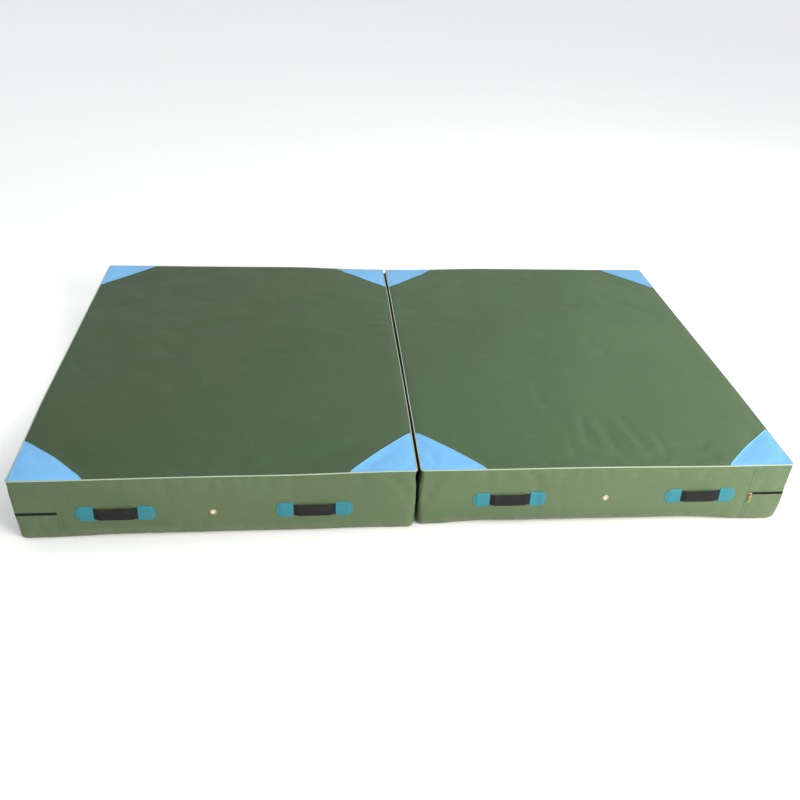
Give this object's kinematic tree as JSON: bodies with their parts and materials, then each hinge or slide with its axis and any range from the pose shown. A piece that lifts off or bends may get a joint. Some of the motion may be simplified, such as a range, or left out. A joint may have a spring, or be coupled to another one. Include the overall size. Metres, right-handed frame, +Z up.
{
  "type": "folding crash mat",
  "caption": "Folding foam landing mat: thick foam blocks in zipped canvas covers with webbing handles and coloured corners, joined by a fabric hinge so that one folds onto the other.",
  "frame": {"origin": "On the floor, at the middle of the fold line, with the mat laid open.", "axes": "+X from the left block to the right block, across the fold; +Y from the front wall to the back wall, along the fold; +Z up."},
  "size_m": [3.0166, 2.027, 0.3013],
  "materials": {
    "cover_top": "coated canvas, dark olive green, low sheen",
    "cover_side": "coated canvas, olive green, low sheen",
    "cover_base": "coated canvas base, dark olive green, matt",
    "corner_patch": "coated cloth, sky blue, low sheen",
    "handle_patch": "coated cloth, teal, low sheen",
    "webbing": "woven webbing, black",
    "piping": "cord welt, off-white",
    "zip_black": "moulded zip teeth, black",
    "zip_brass": "brass, lightly polished",
    "eyelet": "pale brass, rolled and polished",
    "hinge_fabric": "black heavy fabric, matt",
    "core_foam": "open-cell polyurethane foam",
    "top_foam": "firmer polyurethane foam"
  },
  "bodies": {
    "left_block": {"left_foam_core": "core_foam", "left_foam_top_layer": "top_foam", "left_top_panel": "cover_top", "left_bottom_panel": "cover_base", "left_side_band": "cover_side", "left_end_wall_upper": "cover_side", "left_end_wall_lower": "cover_side", "left_zipper_chain": "zip_black", "left_edge_piping": "piping", "left_corner_patch_front_inner": "corner_patch", "left_front_inner_handle_strap": "webbing", "left_front_inner_handle_patch_a": "handle_patch", "left_front_inner_handle_patch_b": "handle_patch", "left_corner_patch_front_outer": "corner_patch", "left_front_outer_handle_strap": "webbing", "left_front_outer_handle_patch_a": "handle_patch", "left_front_outer_handle_patch_b": "handle_patch", "left_front_eyelet": "eyelet", "left_corner_patch_back_inner": "corner_patch", "left_back_inner_handle_strap": "webbing", "left_back_inner_handle_patch_a": "handle_patch", "left_back_inner_handle_patch_b": "handle_patch", "left_corner_patch_back_outer": "corner_patch", "left_back_outer_handle_strap": "webbing", "left_back_outer_handle_patch_a": "handle_patch", "left_back_outer_handle_patch_b": "handle_patch", "left_back_eyelet": "eyelet", "hinge_strip": "hinge_fabric"},
    "left_zip_slider": {"left_zipper_slider": "zip_brass"},
    "left_zip_pull": {"left_zipper_pull": "zip_brass"},
    "right_block": {"right_foam_core": "core_foam", "right_foam_top_layer": "top_foam", "right_top_panel": "cover_top", "right_bottom_panel": "cover_base", "right_side_band": "cover_side", "right_end_wall_upper": "cover_side", "right_end_wall_lower": "cover_side", "right_zipper_chain": "zip_black", "right_edge_piping": "piping", "right_corner_patch_front_inner": "corner_patch", "right_front_inner_handle_strap": "webbing", "right_front_inner_handle_patch_a": "handle_patch", "right_front_inner_handle_patch_b": "handle_patch", "right_corner_patch_front_outer": "corner_patch", "right_front_outer_handle_strap": "webbing", "right_front_outer_handle_patch_a": "handle_patch", "right_front_outer_handle_patch_b": "handle_patch", "right_front_eyelet": "eyelet", "right_corner_patch_back_inner": "corner_patch", "right_back_inner_handle_strap": "webbing", "right_back_inner_handle_patch_a": "handle_patch", "right_back_inner_handle_patch_b": "handle_patch", "right_corner_patch_back_outer": "corner_patch", "right_back_outer_handle_strap": "webbing", "right_back_outer_handle_patch_a": "handle_patch", "right_back_outer_handle_patch_b": "handle_patch", "right_back_eyelet": "eyelet"},
    "right_zip_slider": {"right_zipper_slider": "zip_brass"},
    "right_zip_pull": {"right_zipper_pull": "zip_brass"}
  },
  "joints": [
    {"name": "fold", "type": "hinge", "parent": "left_block", "child": "right_block", "pos_m": [0, 0, 0.304], "axis": [0, -1, 0], "range_deg": [0, 179.9]},
    {"name": "right_zip_run", "type": "slide", "parent": "right_block", "child": "right_zip_slider", "axis": [1, 0, 0], "range_m": [0, 0.08]},
    {"name": "right_zip_pull_swing", "type": "hinge", "parent": "right_zip_slider", "child": "right_zip_pull", "pos_m": [1.3703, -1.0085, 0.146], "axis": [-1, 0, 0], "range_deg": [0, 170]},
    {"name": "left_zip_run", "type": "slide", "parent": "left_block", "child": "left_zip_slider", "axis": [-1, 0, 0], "range_m": [0, 0.08]},
    {"name": "left_zip_pull_swing", "type": "hinge", "parent": "left_zip_slider", "child": "left_zip_pull", "pos_m": [-1.3703, 1.0085, 0.119], "axis": [1, 0, 0], "range_deg": [0, 170]}
  ]
}
